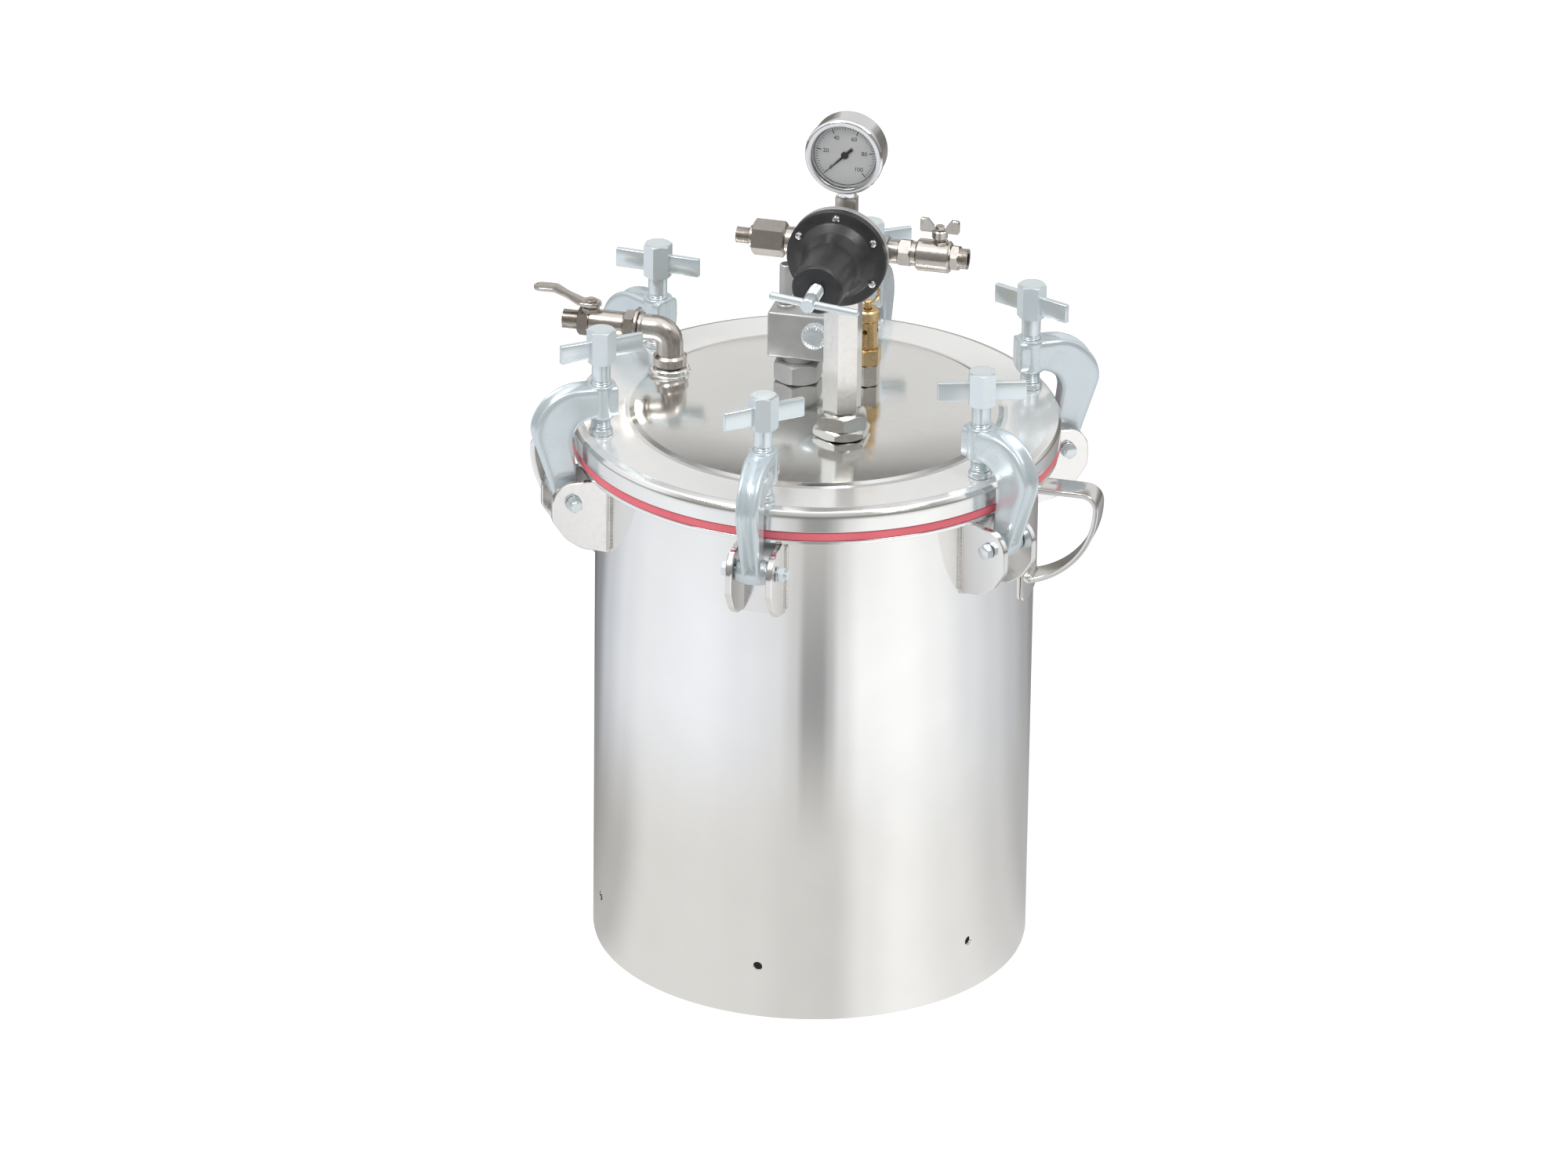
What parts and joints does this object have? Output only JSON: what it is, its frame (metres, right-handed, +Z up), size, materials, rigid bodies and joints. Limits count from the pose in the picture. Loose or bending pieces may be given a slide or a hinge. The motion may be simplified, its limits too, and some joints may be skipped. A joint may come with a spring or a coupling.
{
  "type": "pressure feed tank",
  "caption": "Stainless pressure-feed tank with a lid held by swing clamps, an air regulator and gauge, relief, vent and outlet valves, and two side carry handles.",
  "frame": {"origin": "centre of the base ring, on the floor", "axes": "+Z up along the tank; the carry handles lie on X, and the regulator and the gauge face -Y"},
  "size_m": [0.4863, 0.48, 0.7525],
  "materials": {
    "stainless": "mirror-polished",
    "zinc": "bright zinc-plated casting, satin",
    "nickel": "nickel-plated, worn satin",
    "brass": "bare, satin",
    "black_paint": "semi-gloss black",
    "red_rubber": "matt moulded",
    "chrome": "polished",
    "white_dial": "matt white",
    "black_pointer": "matt black",
    "clear_glass": "clear",
    "dull_steel": "machined grey, satin"
  },
  "bodies": {
    "tank": {"tank_shell": "stainless", "tank_bottom_head": "dull_steel", "carry_handle_left": "stainless", "carry_handle_right": "stainless", "clamp_bracket_1": "stainless", "clamp_pivot_pin_1": "zinc", "clamp_bracket_2": "stainless", "clamp_pivot_pin_2": "zinc", "clamp_bracket_3": "stainless", "clamp_pivot_pin_3": "zinc", "clamp_bracket_4": "stainless", "clamp_pivot_pin_4": "zinc", "clamp_bracket_5": "stainless", "clamp_pivot_pin_5": "zinc", "clamp_bracket_6": "stainless", "clamp_pivot_pin_6": "zinc"},
    "lid": {"lid": "stainless", "lid_gasket": "red_rubber", "riser_post": "nickel", "riser_locknut": "nickel", "regulator_body": "dull_steel", "regulator_bonnet": "black_paint", "gauge_adapter": "nickel", "gauge_case": "chrome", "gauge_dial": "white_dial", "gauge_lens": "clear_glass", "air_inlet_fitting": "nickel", "air_outlet_valve_body": "nickel", "safety_valve_nipple": "dull_steel", "safety_valve_body": "brass", "vent_valve_body": "dull_steel", "fluid_outlet_elbow": "nickel", "fluid_valve_body": "nickel", "siphon_tube": "stainless"},
    "clamp_arm_1": {"clamp_arm_1": "zinc"},
    "clamp_pad_1": {"clamp_pad_1": "zinc"},
    "clamp_screw_1": {"clamp_tscrew_1": "zinc"},
    "clamp_arm_2": {"clamp_arm_2": "zinc"},
    "clamp_pad_2": {"clamp_pad_2": "zinc"},
    "clamp_screw_2": {"clamp_tscrew_2": "zinc"},
    "clamp_arm_3": {"clamp_arm_3": "zinc"},
    "clamp_pad_3": {"clamp_pad_3": "zinc"},
    "clamp_screw_3": {"clamp_tscrew_3": "zinc"},
    "clamp_arm_4": {"clamp_arm_4": "zinc"},
    "clamp_pad_4": {"clamp_pad_4": "zinc"},
    "clamp_screw_4": {"clamp_tscrew_4": "zinc"},
    "clamp_arm_5": {"clamp_arm_5": "zinc"},
    "clamp_pad_5": {"clamp_pad_5": "zinc"},
    "clamp_screw_5": {"clamp_tscrew_5": "zinc"},
    "clamp_arm_6": {"clamp_arm_6": "zinc"},
    "clamp_pad_6": {"clamp_pad_6": "zinc"},
    "clamp_screw_6": {"clamp_tscrew_6": "zinc"},
    "regulator_button": {"regulator_spring_button": "dull_steel"},
    "regulator_adjuster": {"regulator_screw": "zinc", "regulator_tbar": "zinc"},
    "gauge_needle": {"gauge_pointer": "black_pointer"},
    "air_outlet_handle": {"air_outlet_valve_handle": "nickel"},
    "safety_ring": {"safety_valve_ring": "brass"},
    "vent_knob": {"vent_valve_knob": "zinc"},
    "fluid_lever": {"fluid_valve_lever": "nickel"}
  },
  "joints": [
    {"name": "lid_lift", "type": "slide", "parent": "tank", "child": "lid", "axis": [0, 0, 1], "range_m": [0, 0.055]},
    {"name": "clamp_swing_1", "type": "hinge", "parent": "tank", "child": "clamp_arm_1", "pos_m": [0, -0.21, 0.415], "axis": [1, 0, 0], "range_deg": [0, 150]},
    {"name": "clamp_travel_1", "type": "slide", "parent": "clamp_arm_1", "child": "clamp_pad_1", "axis": [0, 0, 1], "range_m": [0, 0.0086]},
    {"name": "clamp_turn_1", "type": "hinge", "parent": "clamp_pad_1", "child": "clamp_screw_1", "pos_m": [0, -0.182, 0.5], "axis": [0, 0, 1], "range_deg": [0, 1350]},
    {"name": "clamp_swing_2", "type": "hinge", "parent": "tank", "child": "clamp_arm_2", "pos_m": [0.18186, -0.105, 0.415], "axis": [0.5, 0.866, 0], "range_deg": [0, 150]},
    {"name": "clamp_travel_2", "type": "slide", "parent": "clamp_arm_2", "child": "clamp_pad_2", "axis": [0, 0, 1], "range_m": [0, 0.0086]},
    {"name": "clamp_turn_2", "type": "hinge", "parent": "clamp_pad_2", "child": "clamp_screw_2", "pos_m": [0.15762, -0.091, 0.5], "axis": [0, 0, 1], "range_deg": [0, 1350]},
    {"name": "clamp_swing_3", "type": "hinge", "parent": "tank", "child": "clamp_arm_3", "pos_m": [0.18186, 0.105, 0.415], "axis": [-0.5, 0.866, 0], "range_deg": [0, 150]},
    {"name": "clamp_travel_3", "type": "slide", "parent": "clamp_arm_3", "child": "clamp_pad_3", "axis": [0, 0, 1], "range_m": [0, 0.0086]},
    {"name": "clamp_turn_3", "type": "hinge", "parent": "clamp_pad_3", "child": "clamp_screw_3", "pos_m": [0.15762, 0.091, 0.5], "axis": [0, 0, 1], "range_deg": [0, 1350]},
    {"name": "clamp_swing_4", "type": "hinge", "parent": "tank", "child": "clamp_arm_4", "pos_m": [0, 0.21, 0.415], "axis": [-1, 0, 0], "range_deg": [0, 150]},
    {"name": "clamp_travel_4", "type": "slide", "parent": "clamp_arm_4", "child": "clamp_pad_4", "axis": [0, 0, 1], "range_m": [0, 0.0086]},
    {"name": "clamp_turn_4", "type": "hinge", "parent": "clamp_pad_4", "child": "clamp_screw_4", "pos_m": [0, 0.182, 0.5], "axis": [0, 0, 1], "range_deg": [0, 1350]},
    {"name": "clamp_swing_5", "type": "hinge", "parent": "tank", "child": "clamp_arm_5", "pos_m": [-0.18186, 0.105, 0.415], "axis": [-0.5, -0.866, 0], "range_deg": [0, 150]},
    {"name": "clamp_travel_5", "type": "slide", "parent": "clamp_arm_5", "child": "clamp_pad_5", "axis": [0, 0, 1], "range_m": [0, 0.0086]},
    {"name": "clamp_turn_5", "type": "hinge", "parent": "clamp_pad_5", "child": "clamp_screw_5", "pos_m": [-0.15762, 0.091, 0.5], "axis": [0, 0, 1], "range_deg": [0, 1350]},
    {"name": "clamp_swing_6", "type": "hinge", "parent": "tank", "child": "clamp_arm_6", "pos_m": [-0.18186, -0.105, 0.415], "axis": [0.5, -0.866, 0], "range_deg": [0, 150]},
    {"name": "clamp_travel_6", "type": "slide", "parent": "clamp_arm_6", "child": "clamp_pad_6", "axis": [0, 0, 1], "range_m": [0, 0.0086]},
    {"name": "clamp_turn_6", "type": "hinge", "parent": "clamp_pad_6", "child": "clamp_screw_6", "pos_m": [-0.15762, -0.091, 0.5], "axis": [0, 0, 1], "range_deg": [0, 1350]},
    {"name": "regulator_travel", "type": "slide", "parent": "lid", "child": "regulator_button", "axis": [0, -1, 0], "range_m": [-0.003, 0.003]},
    {"name": "regulator_turn", "type": "hinge", "parent": "regulator_button", "child": "regulator_adjuster", "pos_m": [0.034, -0.16, 0.638], "axis": [0, -1, 0], "range_deg": [-720, 720]},
    {"name": "gauge_pointer_turn", "type": "hinge", "parent": "lid", "child": "gauge_needle", "pos_m": [0.0355, -0.0605, 0.7205], "axis": [0, 1, 0], "range_deg": [0, 270]},
    {"name": "air_outlet_valve_turn", "type": "hinge", "parent": "lid", "child": "air_outlet_handle", "pos_m": [0.1125, -0.055, 0.658], "axis": [0, 0, 1], "range_deg": [0, 90]},
    {"name": "safety_valve_pull", "type": "slide", "parent": "lid", "child": "safety_ring", "axis": [0, 0, 1], "range_m": [0, 0.003], "stiffness_N_per_m": 500},
    {"name": "vent_valve_turn", "type": "hinge", "parent": "lid", "child": "vent_knob", "pos_m": [-0.006, 0.015, 0.5246], "axis": [0, -1, 0], "range_deg": [0, 720]},
    {"name": "fluid_valve_turn", "type": "hinge", "parent": "lid", "child": "fluid_lever", "pos_m": [-0.199, 0.033, 0.525], "axis": [0, 0, 1], "range_deg": [0, 90]}
  ],
  "couplings": [
    {"joint": "clamp_swing_1", "follows": "lid_lift", "rad_per_m": 47.59},
    {"joint": "clamp_turn_1", "follows": "clamp_travel_1", "rad_per_m": 2732.2},
    {"joint": "clamp_swing_2", "follows": "lid_lift", "rad_per_m": 47.59},
    {"joint": "clamp_turn_2", "follows": "clamp_travel_2", "rad_per_m": 2732.2},
    {"joint": "clamp_swing_3", "follows": "lid_lift", "rad_per_m": 47.59},
    {"joint": "clamp_turn_3", "follows": "clamp_travel_3", "rad_per_m": 2732.2},
    {"joint": "clamp_swing_4", "follows": "lid_lift", "rad_per_m": 47.59},
    {"joint": "clamp_turn_4", "follows": "clamp_travel_4", "rad_per_m": 2732.2},
    {"joint": "clamp_swing_5", "follows": "lid_lift", "rad_per_m": 47.59},
    {"joint": "clamp_turn_5", "follows": "clamp_travel_5", "rad_per_m": 2732.2},
    {"joint": "clamp_swing_6", "follows": "lid_lift", "rad_per_m": 47.59},
    {"joint": "clamp_turn_6", "follows": "clamp_travel_6", "rad_per_m": 2732.2},
    {"joint": "regulator_travel", "follows": "regulator_turn", "m_per_rad": 0.000239}
  ]
}
